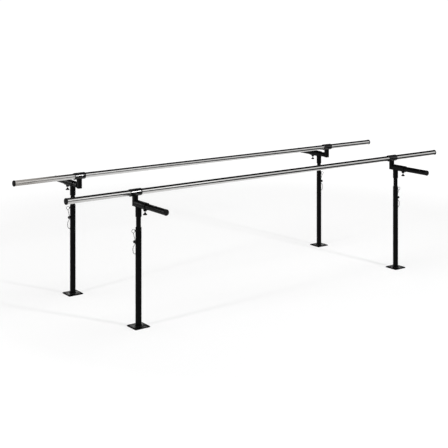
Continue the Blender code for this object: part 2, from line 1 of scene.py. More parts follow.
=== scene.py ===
"""Looks of the walking parallel bars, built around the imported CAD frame.

Sizes and places are read from the CAD boxes of the near left upright and of
the rails.  Each piece is made once about the upright's axis, with the outboard
side at -Y and the rail's end at -X, and is then turned into its four places.
"""

import json
import math

import bmesh
import bpy
from mathutils import Matrix, Vector

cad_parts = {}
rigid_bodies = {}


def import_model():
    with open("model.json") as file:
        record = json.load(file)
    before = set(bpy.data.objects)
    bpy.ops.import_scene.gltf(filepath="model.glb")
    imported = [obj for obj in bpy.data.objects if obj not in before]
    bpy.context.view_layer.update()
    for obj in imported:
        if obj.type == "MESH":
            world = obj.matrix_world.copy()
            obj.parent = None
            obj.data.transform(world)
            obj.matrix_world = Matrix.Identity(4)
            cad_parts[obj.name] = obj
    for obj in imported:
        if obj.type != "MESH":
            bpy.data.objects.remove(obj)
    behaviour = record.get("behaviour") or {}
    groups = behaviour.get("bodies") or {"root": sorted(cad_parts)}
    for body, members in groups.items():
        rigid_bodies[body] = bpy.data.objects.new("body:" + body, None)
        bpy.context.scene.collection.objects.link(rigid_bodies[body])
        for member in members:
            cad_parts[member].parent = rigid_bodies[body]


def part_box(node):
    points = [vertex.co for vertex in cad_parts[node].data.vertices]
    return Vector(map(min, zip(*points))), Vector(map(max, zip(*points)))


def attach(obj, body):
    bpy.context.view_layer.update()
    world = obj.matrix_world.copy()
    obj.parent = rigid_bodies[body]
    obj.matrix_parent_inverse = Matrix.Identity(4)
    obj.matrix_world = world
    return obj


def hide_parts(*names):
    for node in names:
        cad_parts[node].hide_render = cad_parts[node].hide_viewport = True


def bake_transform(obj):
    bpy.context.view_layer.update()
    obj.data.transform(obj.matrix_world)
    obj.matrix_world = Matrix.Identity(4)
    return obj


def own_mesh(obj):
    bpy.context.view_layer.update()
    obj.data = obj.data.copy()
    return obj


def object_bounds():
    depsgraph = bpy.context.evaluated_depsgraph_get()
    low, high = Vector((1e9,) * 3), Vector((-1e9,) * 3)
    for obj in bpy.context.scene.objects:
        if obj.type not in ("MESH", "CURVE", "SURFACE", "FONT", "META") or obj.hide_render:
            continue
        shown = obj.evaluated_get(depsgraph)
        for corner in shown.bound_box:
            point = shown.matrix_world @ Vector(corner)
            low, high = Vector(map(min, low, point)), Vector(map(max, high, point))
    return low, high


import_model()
CAD_LOW, CAD_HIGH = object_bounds()

# Name of each upright, with its turn for the rail's end and for the outboard side
UPRIGHTS = [
    ("near_left", 0.0, 0.0),
    ("near_right", math.pi, 0.0),
    ("far_left", 0.0, math.pi),
    ("far_right", math.pi, math.pi),
]

# Roundness, and distances used by every mesh
ROUND = 72
ROUND_SMALL = 40
ROUND_RAIL = 128
SHARP_ANGLE = math.radians(32)
MERGE = 1e-6
FIT = 0.0003            # air between neighbouring pieces
PAST = 0.01             # how far a cutter reaches past a surface
EDGE = 0.0006           # chamfer of a cut rim
FINE_EDGE = 0.0004


def centre_of(node):
    low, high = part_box(node)
    return (low + high) / 2.0


POST = centre_of("base_plate_near_left")
POST.z = 0.0


def near_left(node):
    """Box of a CAD node of the near left upright, from that upright's axis."""
    low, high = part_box(f"{node}_near_left")
    return low - POST, high - POST


plate_low, plate_high = near_left("base_plate")
tube_low, tube_high = near_left("outer_tube")
bush_low, bush_high = near_left("guide_bush")
inner_low, inner_high = near_left("inner_tube")
head_low, head_high = near_left("head")
arm_low, arm_high = near_left("slide_arm")
arm_cap_low, arm_cap_high = near_left("arm_cap")
riser_low, riser_high = near_left("riser")
width_pin_low, width_pin_high = near_left("width_pin")
spring_low, spring_high = near_left("width_spring")
height_pin_low, height_pin_high = near_left("height_pin")
height_knob_low, height_knob_high = near_left("height_knob")
chain_low = near_left("lanyard_chain")[0]
rail_low, rail_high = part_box("rail_near")
rail_cap_low, rail_cap_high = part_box("rail_cap_near_right")

# Foot plate
PLATE_HALF = plate_high.x
PLATE_TOP = plate_high.z
PLATE_CORNER = 0.005
PLATE_HOLE_RADIUS = 0.005
PLATE_HOLE_OFFSET = 0.037

# Outer tube, and the boss of the tension knob on it
TUBE_RADIUS = tube_high.y
TUBE_WALL = 0.0019
TUBE_TOP = tube_high.z
KNOB_BOSS_FACE = -tube_low.x
KNOB_BOSS_RADIUS = 0.0070
STEM_HOLE = 0.0036
STEM_RADIUS = 0.0030

# Inner tube
INNER_RADIUS = inner_high.x
INNER_WALL = 0.0025
HEIGHT_PIN_Z = (height_pin_low.z + height_pin_high.z) / 2.0
HEIGHT_PITCH = 0.0508
HEIGHT_STEPS = range(-5, 2)
HOLE_RADIUS = 0.0046
PIN_RADIUS = 0.0040

# Head and slide arm
SOCKET_RADIUS = 0.0182
SOCKET_BORE = 0.0148
SLEEVE_RADIUS = head_high.x
SLEEVE_BORE = 0.0179
ARM_Z = (arm_low.z + arm_high.z) / 2.0
ARM_RADIUS = arm_high.x
ARM_WALL = 0.0020
WIDTH_PIN_Y = (width_pin_low.y + width_pin_high.y) / 2.0
WIDTH_PITCH = 0.0254
WIDTH_HOLES = 7
CAP_PLUG_DEPTH = 0.014
ARM_CAP_ROUNDING = 0.0038

# Plunger under the head
BOSS_RADIUS = 0.0100
BOSS_LOW = ARM_Z - 0.0295
BOSS_FLOOR = 0.0020
SPRING_ROOM = 0.0064
SPRING_RADIUS = 0.0048
SPRING_WIRE = 0.00035
SPRING_TURNS = 3.0
COLLAR_RADIUS = 0.0060
COLLAR_TOP = ARM_Z - 0.0189
COLLAR_LOW = COLLAR_TOP - 0.0013
PULL_KNOB_TOP = ARM_Z - 0.0370
PULL_KNOB_NECK = 0.0046
PULL_KNOB_BORE = 0.0031

# Rail, riser and saddle
RAIL_Z = (rail_low.z + rail_high.z) / 2.0
RAIL_Y = (rail_low.y + rail_high.y) / 2.0 - POST.y
RAIL_RADIUS = (rail_high.z - rail_low.z) / 2.0
RAIL_WALL = 0.00165
RAIL_CAP_ROUNDING = 0.0022
RAIL_CAP_LIP = 0.0025       # how far the cap's rim reaches over the rail
RISER_HALF = 0.0135
RISER_WALL = 0.0020
RISER_CORNER = 0.0025
RISER_CORNER_INSIDE = 0.0012
SADDLE_HALF = riser_high.x
SADDLE_RADIUS = riser_high.z - RAIL_Z
SADDLE_FILM = 0.0012        # how much fuller the saddle is drawn than its CAD box

# Tension knob, lock pin and chain
KNOB_Z = (height_knob_low.z + height_knob_high.z) / 2.0
KNOB_RADIUS = (height_knob_high.z - height_knob_low.z) / 2.0
PIN_FACE = TUBE_RADIUS + FIT
PIN_COLLAR_RADIUS = 0.0065
PIN_COLLAR_LENGTH = 0.0035
RING_GAUGE = 0.0014
RING_WIRE = RING_GAUGE * 0.88
RING_RADIUS = (height_pin_high.z - height_pin_low.z) / 2.0 - RING_GAUGE
RING_X = height_pin_low.x + RING_RADIUS + RING_GAUGE
RING_TURNS = 1.94
ANCHOR_RADIUS = 0.0042
ANCHOR_Z = chain_low.z + ANCHOR_RADIUS
LINK_PITCH = 0.0056
LINK_WIRE = 0.00078
LINK_HALF_WIDE = 0.0020


# ---- mesh tools ----

def around(radius, share):
    """The two coordinates of a point, a share of the way round a circle."""
    angle = 2.0 * math.pi * share
    return radius * math.cos(angle), radius * math.sin(angle)


def cleaned(solid):
    """Merge double points and turn all faces outwards."""
    bmesh.ops.remove_doubles(solid, verts=solid.verts, dist=MERGE)
    bmesh.ops.recalc_face_normals(solid, faces=solid.faces)
    return solid


def turned(profile, segments=ROUND):
    """Solid of revolution about Z from (radius, height) points."""
    solid = bmesh.new()
    points = [solid.verts.new((radius, 0.0, height)) for radius, height in profile]
    edges = [solid.edges.new(pair) for pair in zip(points, points[1:])]
    if profile[0][0] > 0.0:
        edges.append(solid.edges.new((points[-1], points[0])))
    bmesh.ops.spin(
        solid, geom=points + edges, axis=(0.0, 0.0, 1.0), angle=2.0 * math.pi,
        steps=segments, use_merge=True,
    )
    return cleaned(solid)


def rod(radius, low, high, segments=ROUND, edge=0.0):
    """Cylinder about Z, with chamfered rims where an edge is given."""
    return turned([
        (0.0, low), (radius - edge, low), (radius, low + edge),
        (radius, high - edge), (radius - edge, high), (0.0, high),
    ], segments)


def tube(radius, bore, low, high, edge=FINE_EDGE, segments=ROUND):
    """Tube about Z with small chamfers on its four rims."""
    return turned([
        (bore, low + edge), (bore + edge, low), (radius - edge, low), (radius, low + edge),
        (radius, high - edge), (radius - edge, high), (bore + edge, high), (bore, high - edge),
    ], segments)


def block(half, corner, low, high):
    """Square prism about Z with rounded upright edges."""
    solid = bmesh.new()
    place = Matrix.Translation((0.0, 0.0, (high + low) / 2.0))
    size = Matrix.Diagonal((half * 2.0, half * 2.0, high - low, 1.0))
    bmesh.ops.create_cube(solid, size=1.0, matrix=place @ size)
    upright_edges = [
        edge for edge in solid.edges
        if abs(edge.verts[0].co.z - edge.verts[1].co.z) > (high - low) / 2.0
    ]
    bmesh.ops.bevel(
        solid, geom=upright_edges, offset=corner, segments=6, profile=0.5, affect="EDGES",
    )
    return cleaned(solid)


def moved(solid, x, y, z):
    bmesh.ops.translate(solid, vec=(x, y, z), verts=solid.verts)
    return solid


def laid(solid, axis):
    """A quarter turn about the named axis."""
    turn = Matrix.Rotation(math.pi / 2.0, 3, axis)
    bmesh.ops.rotate(solid, matrix=turn, verts=solid.verts)
    return solid


def along_x(solid, height=0.0):
    """Lay a solid made about Z along X, its top towards +X."""
    return moved(laid(solid, "Y"), 0.0, 0.0, height)


def along_y(solid, height=0.0):
    """Lay a solid made about Z along Y, its top towards -Y."""
    return moved(laid(solid, "X"), 0.0, 0.0, height)


def as_mesh(name, solid):
    mesh = bpy.data.meshes.new(name)
    solid.to_mesh(mesh)
    solid.free()
    return mesh


def in_scene(name, data):
    item = bpy.data.objects.new(name, data)
    bpy.context.scene.collection.objects.link(item)
    return item


def together(solids):
    """Several separate solids in one bmesh."""
    whole = bmesh.new()
    for solid in solids:
        part = as_mesh("part", solid)
        whole.from_mesh(part)
        bpy.data.meshes.remove(part)
    return whole


def evaluated(holder):
    """Solid of an object with its modifiers or curve settings applied.  The object goes."""
    graph = bpy.context.evaluated_depsgraph_get()
    mesh = bpy.data.meshes.new_from_object(holder.evaluated_get(graph))
    bpy.data.objects.remove(holder)
    solid = bmesh.new()
    solid.from_mesh(mesh)
    bpy.data.meshes.remove(mesh)
    return solid


def combined(base, steps):
    """Apply Boolean steps, each (operation, solid), to the base solid."""
    for operation, solid in steps:
        cutter = in_scene("boolean_cutter", as_mesh("boolean_cutter", solid))
        holder = in_scene("boolean_holder", as_mesh("boolean_holder", base))
        used = [cutter.data, holder.data]
        modifier = holder.modifiers.new("boolean", "BOOLEAN")
        modifier.operation = operation
        modifier.solver = "EXACT"
        modifier.object = cutter
        base = evaluated(holder)
        bpy.data.objects.remove(cutter)
        for mesh in used:
            bpy.data.meshes.remove(mesh)
        bmesh.ops.remove_doubles(base, verts=base.verts, dist=MERGE)
        bmesh.ops.dissolve_degenerate(base, edges=base.edges, dist=MERGE)
    return base


def bridged(solid, ring, following):
    """Faces between two rings of points."""
    for index in range(len(ring)):
        beside = (index + 1) % len(ring)
        solid.faces.new((ring[index], ring[beside], following[beside], following[index]))


def swept(points, radii, sides, closed):
    """Round bar along points, with one radius per point."""
    solid = bmesh.new()
    count = len(points)
    across = None
    rings = []
    for index in range(count):
        before = points[index - 1 if closed else max(index - 1, 0)]
        after = points[(index + 1) % count if closed else min(index + 1, count - 1)]
        ahead = (after - before).normalized()
        if across is None:
            across = ahead.orthogonal()
        across = (across - ahead * across.dot(ahead)).normalized()
        other = ahead.cross(across)
        ring = []
        for side in range(sides):
            out, up = around(radii[index], side / sides)
            ring.append(solid.verts.new(points[index] + across * out + other * up))
        rings.append(ring)
    for ring, following in zip(rings, rings[1:]):
        bridged(solid, ring, following)
    first, last = rings[0], rings[-1]
    if closed:
        # turn the seam by whole sides so that the last ring meets the first
        gaps = [(point.co - first[0].co).length for point in last]
        shift = gaps.index(min(gaps))
        bridged(solid, last[shift:] + last[:shift], first)
    else:
        solid.faces.new(first)
        solid.faces.new(last)
    return cleaned(solid)


def smooth_path(corners, steps):
    """Points of a Catmull-Rom curve through the corners."""
    padded = [corners[0] * 2.0 - corners[1]] + corners + [corners[-1] * 2.0 - corners[-2]]
    points = []
    for a, b, c, d in zip(padded, padded[1:], padded[2:], padded[3:]):
        for step in range(steps):
            share = step / steps
            points.append((
                b * 2.0
                + (c - a) * share
                + (a * 2.0 - b * 5.0 + c * 4.0 - d) * share ** 2
                + (b * 3.0 - a - c * 3.0 + d) * share ** 3
            ) / 2.0)
    points.append(corners[-1])
    return points


def weld_bead(outline, radius, pitch):
    """Rippled weld bead along a closed outline given as a function of 0..1."""
    rough = [outline(step / 200) for step in range(200)]
    length = sum((b - a).length for a, b in zip(rough, rough[1:] + rough[:1]))
    points_each = 5
    count = max(8, round(length / pitch)) * points_each
    points = [outline(step / count) for step in range(count)]
    radii = []
    for step in range(count):
        ripple = 0.86 + 0.20 * math.sin(math.pi * (step % points_each) / points_each) ** 0.7
        drift = 1.0 + 0.07 * math.sin(step * 0.071) + 0.05 * math.sin(step * 0.023 + 1.3)
        radii.append(radius * ripple * drift)
    return swept(points, radii, 8, True)


# ---- foot and upright ----

def plate_outlines():
    """The plate's rounded square, and its four bolt holes the other way round."""
    inset = PLATE_HALF - PLATE_CORNER
    square = []
    for quarter, (sign_x, sign_y) in enumerate(((1, 1), (-1, 1), (-1, -1), (1, -1))):
        for step in range(9):
            x, y = around(PLATE_CORNER, (quarter + step / 8.0) / 4.0)
            square.append((sign_x * inset + x, sign_y * inset + y))
    outlines = [square]
    hole = [around(PLATE_HOLE_RADIUS, -step / 32) for step in range(32)]
    for centre_x in (-PLATE_HOLE_OFFSET, PLATE_HOLE_OFFSET):
        for centre_y in (-PLATE_HOLE_OFFSET, PLATE_HOLE_OFFSET):
            outlines.append([(centre_x + x, centre_y + y) for x, y in hole])
    return outlines


def foot_plate():
    """Plate with rounded corners, eased edges and four bolt holes."""
    curve = bpy.data.curves.new("foot_plate_outline", "CURVE")
    curve.dimensions = "2D"
    curve.fill_mode = "BOTH"
    curve.extrude = (PLATE_TOP - plate_low.z) / 2.0 - EDGE
    curve.bevel_depth = EDGE
    curve.bevel_resolution = 2
    curve.offset = -EDGE
    for outline in plate_outlines():
        spline = curve.splines.new("POLY")
        spline.points.add(len(outline) - 1)
        spline.use_cyclic_u = True
        for point, (x, y) in zip(spline.points, outline):
            point.co = (x, y, 0.0, 1.0)
    solid = evaluated(in_scene("foot_plate_outline", curve))
    bpy.data.curves.remove(curve)
    return moved(cleaned(solid), 0.0, 0.0, (PLATE_TOP + plate_low.z) / 2.0)


def foot_weld():
    """Bead between the plate and the outer tube."""
    def outline(share):
        return Vector((*around(TUBE_RADIUS + 0.0006, share), PLATE_TOP + 0.0006))

    return weld_bead(outline, 0.0027, 0.0030)


def post_tube():
    """Fixed outer tube with its knob boss and pin holes."""
    body = rod(TUBE_RADIUS, tube_low.z, TUBE_TOP, edge=EDGE)
    boss = rod(KNOB_BOSS_RADIUS, -KNOB_BOSS_FACE, -INNER_RADIUS, ROUND_SMALL, 0.0005)
    reach = TUBE_RADIUS + PAST
    return combined(body, [
        ("UNION", along_x(boss, KNOB_Z)),
        ("DIFFERENCE", rod(TUBE_RADIUS - TUBE_WALL, 0.0, TUBE_TOP + PAST)),
        ("DIFFERENCE", along_x(rod(HOLE_RADIUS, -reach, reach, ROUND_SMALL), HEIGHT_PIN_Z)),
        ("DIFFERENCE", along_x(rod(STEM_HOLE, -KNOB_BOSS_FACE - PAST, 0.0, ROUND_SMALL), KNOB_Z)),
    ])


def knob_boss_weld():
    """Fine bead where the round boss meets the round tube."""
    def outline(share):
        y, z = around(KNOB_BOSS_RADIUS + 0.0002, share)
        return Vector((-math.sqrt(TUBE_RADIUS ** 2 - y ** 2) - 0.0002, y, KNOB_Z + z))

    return weld_bead(outline, 0.0011, 0.0018)


def bush():
    """Nylon guide bush with a rounded flange on the tube's rim."""
    bore = INNER_RADIUS + FIT
    wall = TUBE_RADIUS - TUBE_WALL - FIT
    rim = TUBE_TOP + FIT
    flange = bush_high.x
    top = bush_high.z
    edge = (top - rim) * 0.4
    return turned([
        (bore, bush_low.z + edge), (bore + edge, bush_low.z),
        (wall - edge, bush_low.z), (wall, bush_low.z + edge),
        (wall, rim), (flange - edge, rim), (flange, rim + edge), (flange, top - edge),
        (flange - edge * 0.3, top - edge * 0.3),
        (flange - edge, top), (bore + edge, top), (bore, top - edge),
    ])


def inner_tube():
    """Telescoping tube with its row of height holes."""
    body = tube(INNER_RADIUS, INNER_RADIUS - INNER_WALL, inner_low.z, inner_high.z)
    reach = INNER_RADIUS + PAST
    holes = [
        along_x(rod(HOLE_RADIUS, -reach, reach, ROUND_SMALL), HEIGHT_PIN_Z + step * HEIGHT_PITCH)
        for step in HEIGHT_STEPS
    ]
    return combined(body, [("DIFFERENCE", together(holes))])


# ---- head, arm and riser ----

def head():
    """Socket, sleeve and plunger boss of the head."""
    inside = ARM_Z - SLEEVE_BORE / 2.0
    socket = turned([
        (0.0, head_low.z), (SOCKET_RADIUS - EDGE, head_low.z), (SOCKET_RADIUS, head_low.z + EDGE),
        (SOCKET_RADIUS, inside), (0.0, inside),
    ])
    sleeve = rod(SLEEVE_RADIUS, -head_high.y, -head_low.y, edge=EDGE)
    sleeve_bore = rod(SLEEVE_BORE, -head_high.y - PAST, -head_low.y + PAST)
    boss = rod(BOSS_RADIUS, BOSS_LOW, inside, ROUND_SMALL, EDGE)
    room = rod(SPRING_ROOM, BOSS_LOW + BOSS_FLOOR, inside + 0.002, ROUND_SMALL)
    stem_hole = rod(STEM_HOLE, BOSS_LOW - PAST, BOSS_LOW + BOSS_FLOOR + 0.001, ROUND_SMALL)
    return combined(socket, [
        ("UNION", along_y(sleeve, ARM_Z)),
        ("UNION", moved(boss, 0.0, WIDTH_PIN_Y, 0.0)),
        ("DIFFERENCE", along_y(sleeve_bore, ARM_Z)),
        ("DIFFERENCE", rod(SOCKET_BORE, head_low.z - PAST, inner_high.z + FIT)),
        ("DIFFERENCE", moved(room, 0.0, WIDTH_PIN_Y, 0.0)),
        ("DIFFERENCE", moved(stem_hole, 0.0, WIDTH_PIN_Y, 0.0)),
    ])


def under_sleeve(radius, centre_y):
    """Closed line where an upright cylinder meets the underside of the sleeve."""
    def outline(share):
        x, y = around(radius, share)
        return Vector((x, centre_y + y, ARM_Z - math.sqrt(SLEEVE_RADIUS ** 2 - x ** 2) - 0.0004))

    return outline


def head_welds():
    """Beads round the socket and round the plunger boss."""
    return together([
        weld_bead(under_sleeve(SOCKET_RADIUS + 0.0004, 0.0), 0.0021, 0.0026),
        weld_bead(under_sleeve(BOSS_RADIUS + 0.0002, WIDTH_PIN_Y), 0.0013, 0.0020),
    ])


def slide_arm():
    """Round arm with its row of width holes on the underside."""
    body = tube(ARM_RADIUS, ARM_RADIUS - ARM_WALL, -arm_high.y, -arm_low.y)
    holes = [
        moved(
            rod(HOLE_RADIUS, -ARM_RADIUS - PAST, 0.0, ROUND_SMALL),
            0.0, WIDTH_PIN_Y - step * WIDTH_PITCH, ARM_Z,
        )
        for step in range(WIDTH_HOLES)
    ]
    return combined(along_y(body, ARM_Z), [("DIFFERENCE", together(holes))])


def end_cap(shoulder_radius, length, plug_radius, rounding):
    """Moulded push-in cap about Z with a rounded rim and a shallow dished face."""
    rim = []
    for step in range(9):
        out, up = around(rounding, step / 32)
        rim.append((shoulder_radius - rounding + out, length - rounding + up))
    dish = shoulder_radius - rounding - 0.0012
    plug = [
        (0.0, -CAP_PLUG_DEPTH), (plug_radius - 0.0008, -CAP_PLUG_DEPTH),
        (plug_radius, -CAP_PLUG_DEPTH + 0.0015), (plug_radius, 0.0),
        (shoulder_radius - FINE_EDGE, 0.0), (shoulder_radius, FINE_EDGE),
    ]
    face = [
        (dish, length), (dish - 0.0006, length - 0.0005),
        (dish * 0.5, length - 0.0008), (0.0, length - 0.0009),
    ]
    return turned(plug + rim + face)


def arm_cap():
    """Cap for the outboard end of a slide arm."""
    plug = ARM_RADIUS - ARM_WALL - FIT
    cap = end_cap(arm_cap_high.x, arm_low.y - arm_cap_low.y, plug, ARM_CAP_ROUNDING)
    return moved(along_y(cap), 0.0, arm_low.y, ARM_Z)


def arm_end_disc():
    """Disc that closes the slide arm where it is welded to the riser."""
    disc = along_y(rod(ARM_RADIUS - ARM_WALL - FIT, -0.0024, 0.0, edge=0.0003))
    return moved(disc, 0.0, arm_high.y - 0.0026, ARM_Z)


def riser():
    """Square tube cut to sit under the saddle, open at its foot."""
    post = block(RISER_HALF, RISER_CORNER, riser_low.z, RAIL_Z)
    hollow_half = RISER_HALF - RISER_WALL
    hollow = block(hollow_half, RISER_CORNER_INSIDE, riser_low.z - PAST, RAIL_Z - SADDLE_RADIUS)
    seat = along_x(rod(SADDLE_RADIUS - 0.0002, -0.05, 0.05))
    return combined(moved(post, 0.0, RAIL_Y, 0.0), [
        ("DIFFERENCE", moved(seat, 0.0, RAIL_Y, RAIL_Z)),
        ("DIFFERENCE", moved(hollow, 0.0, RAIL_Y, 0.0)),
    ])


def saddle():
    """Sleeve that holds the rail, with eased rims."""
    edge = 0.0009
    bore = RAIL_RADIUS + FIT
    radius = SADDLE_RADIUS + SADDLE_FILM
    rim = [
        (bore, FINE_EDGE), (bore + FINE_EDGE, 0.0), (radius - edge, 0.0),
        (radius - edge * 0.3, edge * 0.3), (radius, edge),
    ]
    ring = turned(
        [(out, up - SADDLE_HALF) for out, up in rim]
        + [(out, SADDLE_HALF - up) for out, up in reversed(rim)]
    )
    return moved(along_x(ring), 0.0, RAIL_Y, RAIL_Z)


def riser_welds():
    """Bead under the saddle and bead round the end of the slide arm."""
    def under_saddle(share):
        half = RISER_HALF + 0.0003
        x, y = (max(-half, min(half, side)) for side in around(half * 1.30, share))
        z = RAIL_Z - math.sqrt(SADDLE_RADIUS ** 2 - y ** 2) - 0.0003
        return Vector((x, RAIL_Y + y, z))

    def arm_end(share):
        side = RISER_HALF - 0.0006
        z, out = around(ARM_RADIUS, share)
        x = max(-side, min(side, out))
        if abs(x) < side:
            z = math.copysign(math.sqrt(ARM_RADIUS ** 2 - x ** 2), z)
        return Vector((x, arm_high.y - 0.0002, ARM_Z + z))

    return together([weld_bead(under_saddle, 0.0016, 0.0024), weld_bead(arm_end, 0.0015, 0.0024)])


# ---- plunger ----

def plunger():
    """Zinc plated width pin, turned about Z at its own axis."""
    top = width_pin_high.z
    foot = PULL_KNOB_TOP - 0.0040
    return turned([
        (0.0, top), (PIN_RADIUS - 0.0008, top), (PIN_RADIUS, top - 0.0008),
        (PIN_RADIUS, COLLAR_TOP),
        (COLLAR_RADIUS - 0.0003, COLLAR_TOP), (COLLAR_RADIUS, COLLAR_TOP - 0.0003),
        (COLLAR_RADIUS, COLLAR_LOW + 0.0003), (COLLAR_RADIUS - 0.0003, COLLAR_LOW),
        (STEM_RADIUS, COLLAR_LOW), (STEM_RADIUS, foot), (0.0, foot),
    ], ROUND_SMALL)


def pull_knob():
    """Flared pull knob under the plunger."""
    low = width_pin_low.z
    widest = width_pin_high.x
    flare_top = PULL_KNOB_TOP - EDGE
    rim = (PULL_KNOB_TOP - low) * 0.25
    flare_height = flare_top - low - rim
    flare = []
    for step in range(13):
        share = step / 12
        radius = PULL_KNOB_NECK + (widest - PULL_KNOB_NECK) * share ** 1.35
        flare.append((radius, flare_top - flare_height * share))
    round_low = []
    for step in range(7):
        out, down = around(rim * 0.35, step / 24)
        round_low.append((widest - rim * 0.35 + out, low + rim * 0.35 - down))
    top = [(PULL_KNOB_BORE, PULL_KNOB_TOP), (PULL_KNOB_NECK - EDGE, PULL_KNOB_TOP)]
    face = [(widest * 0.55, low), (widest * 0.50, low + EDGE), (PULL_KNOB_BORE, low + EDGE)]
    return turned(top + flare + round_low + face, ROUND_SMALL)


def spring():
    """Compression spring between the boss floor and the plunger's collar."""
    low = spring_low.z + SPRING_WIRE
    high = spring_high.z - SPRING_WIRE
    steps = int(SPRING_TURNS * 24)
    points = []
    for step in range(steps + 1):
        share = step / steps
        x, y = around(SPRING_RADIUS, SPRING_TURNS * share)
        points.append(Vector((x, WIDTH_PIN_Y + y, low + (high - low) * share)))
    return swept(points, [SPRING_WIRE] * len(points), 8, False)


# ---- lock pin, knob and chain ----

def lock_pin():
    """Zinc plated lock pin along X with its collar and neck at -X."""
    collar_end = PIN_FACE + PIN_COLLAR_LENGTH
    neck_end = collar_end + RING_GAUGE * 2.0
    tip = height_pin_high.x
    return along_x(turned([
        (0.0, -neck_end), (PIN_RADIUS - EDGE, -neck_end), (PIN_RADIUS, -neck_end + EDGE),
        (PIN_RADIUS, -collar_end),
        (PIN_COLLAR_RADIUS - EDGE, -collar_end), (PIN_COLLAR_RADIUS, -collar_end + EDGE),
        (PIN_COLLAR_RADIUS, -PIN_FACE - FINE_EDGE), (PIN_COLLAR_RADIUS - FINE_EDGE, -PIN_FACE),
        (PIN_RADIUS, -PIN_FACE), (PIN_RADIUS, tip - PIN_RADIUS * 0.5),
        (PIN_RADIUS * 0.85, tip - PIN_RADIUS * 0.2), (PIN_RADIUS * 0.5, tip), (0.0, tip),
    ], ROUND_SMALL), HEIGHT_PIN_Z)


def pull_ring():
    """Split ring of two turns through the lock pin's neck."""
    points = []
    count = 150
    for step in range(count):
        share = step / (count - 1)
        x, z = around(RING_RADIUS, RING_TURNS * share + 1.0 / 6.0)
        side = (share - 0.5) * RING_GAUGE * 0.9
        points.append(Vector((RING_X + x, side, HEIGHT_PIN_Z + z)))
    return swept(points, [RING_WIRE] * count, 10, False)


def tension_knob():
    """Fluted tension knob about X at -X, with a recessed face."""
    start = -KNOB_BOSS_FACE - FIT
    length = start - height_knob_low.x
    count = 96
    flutes = 8
    # share of the radius, and share of the length from the tube outwards
    profile = [
        (0.62, 0.0), (0.94, 0.0), (1.0, 0.07), (1.0, 0.80), (0.985, 0.90),
        (0.93, 0.97), (0.84, 1.0), (0.60, 1.0), (0.56, 0.955), (0.0, 0.955),
    ]
    solid = bmesh.new()
    rings = []
    for share_radius, share_length in profile:
        depth = 0.10 if share_radius > 0.8 else 0.0
        ring = []
        for step in range(count):
            wave = 0.5 - 0.5 * math.cos(2.0 * math.pi * flutes * step / count)
            y, z = around(KNOB_RADIUS * share_radius * (1.0 - depth * wave ** 2), step / count)
            ring.append(solid.verts.new((start - length * share_length, y, z)))
        rings.append(ring)
    for ring, following in zip(rings, rings[1:]):
        bridged(solid, ring, following)
    solid.faces.new(rings[0])
    return moved(cleaned(solid), 0.0, 0.0, KNOB_Z)


def knob_stem():
    """Threaded stem from the tension knob into the tube."""
    start = -KNOB_BOSS_FACE - FIT - 0.0012
    end = height_knob_high.x
    pitch = 0.0010
    depth = 0.0005
    count = int((end - start) / pitch * 2)
    profile = [(0.0, start)]
    for step in range(count + 1):
        profile.append((STEM_RADIUS - depth * (step % 2), start + (end - start) * step / count))
    profile.append((0.0, end))
    return along_x(turned(profile, ROUND_SMALL), KNOB_Z)


def anchor_screw():
    """Pan head screw with a socket, and its washer, at the chain's lower end."""
    washer_face = -PIN_FACE - 0.0006
    top = -PIN_FACE - 0.0030
    washer = tube(ANCHOR_RADIUS, 0.0012, washer_face, -PIN_FACE, 0.0001, ROUND_SMALL)
    screw = turned([
        (0.0, washer_face), (0.0031, washer_face), (0.0033, washer_face - 0.0004),
        (0.0032, top + 0.0007), (0.0026, top + 0.0001), (0.0018, top),
        (0.0014, top), (0.0014, top + 0.0012), (0.0, top + 0.0012),
    ], ROUND_SMALL)
    return along_x(together([washer, screw]), ANCHOR_Z)


def chain_path():
    """Line of the chain from the pull ring, past the knob, to the anchor screw."""
    return smooth_path([
        Vector((RING_X, 0.0, HEIGHT_PIN_Z - RING_RADIUS)),
        Vector((RING_X + 0.004, -KNOB_RADIUS - 0.006, KNOB_Z)),
        Vector((-TUBE_RADIUS - 0.0193, 0.0, KNOB_Z - 0.035)),
        Vector((-TUBE_RADIUS - 0.0153, 0.0, ANCHOR_Z + 0.007)),
        Vector((-TUBE_RADIUS - 0.0022, 0.0, ANCHOR_Z)),
    ], 100)


def chain_link(middle, ahead, turn, half_long):
    """One oval link, turned about the chain's line."""
    side = ahead.cross(Vector((0.0, 1.0, 0.0))).normalized()
    wide = side * math.cos(turn) + side.cross(ahead) * math.sin(turn)
    straight = half_long - LINK_HALF_WIDE
    oval = []
    for step in range(20):
        along, across = around(LINK_HALF_WIDE, step / 20)
        oval.append(middle + ahead * (math.copysign(straight, along) + along) + wide * across)
    return swept(oval, [LINK_WIRE] * len(oval), 6, True)


def chain_links():
    """Links at even steps along the chain's line, every second one turned across."""
    path = chain_path()
    runs = [0.0]
    for a, b in zip(path, path[1:]):
        runs.append(runs[-1] + (b - a).length)
    count = round(runs[-1] / LINK_PITCH)
    pitch = runs[-1] / count
    half_long = pitch * 0.5 + LINK_WIRE * 0.95
    links = []
    cursor = 0
    for index in range(count):
        while cursor < len(runs) - 2 and runs[cursor + 1] < pitch * (index + 0.5):
            cursor += 1
        ahead = (path[cursor + 1] - path[cursor]).normalized()
        turn = math.radians(45.0 + 90.0 * (index % 2) + 9.0 * math.sin(index * 1.7))
        links.append(chain_link(path[cursor], ahead, turn, half_long))
    return together(links)


# ---- rails ----

def rail_tube():
    """Stainless handrail about the middle of its length."""
    half = (rail_high.x - rail_low.x) / 2.0
    return along_x(tube(RAIL_RADIUS, RAIL_RADIUS - RAIL_WALL, -half, half, 0.0003, ROUND_RAIL))


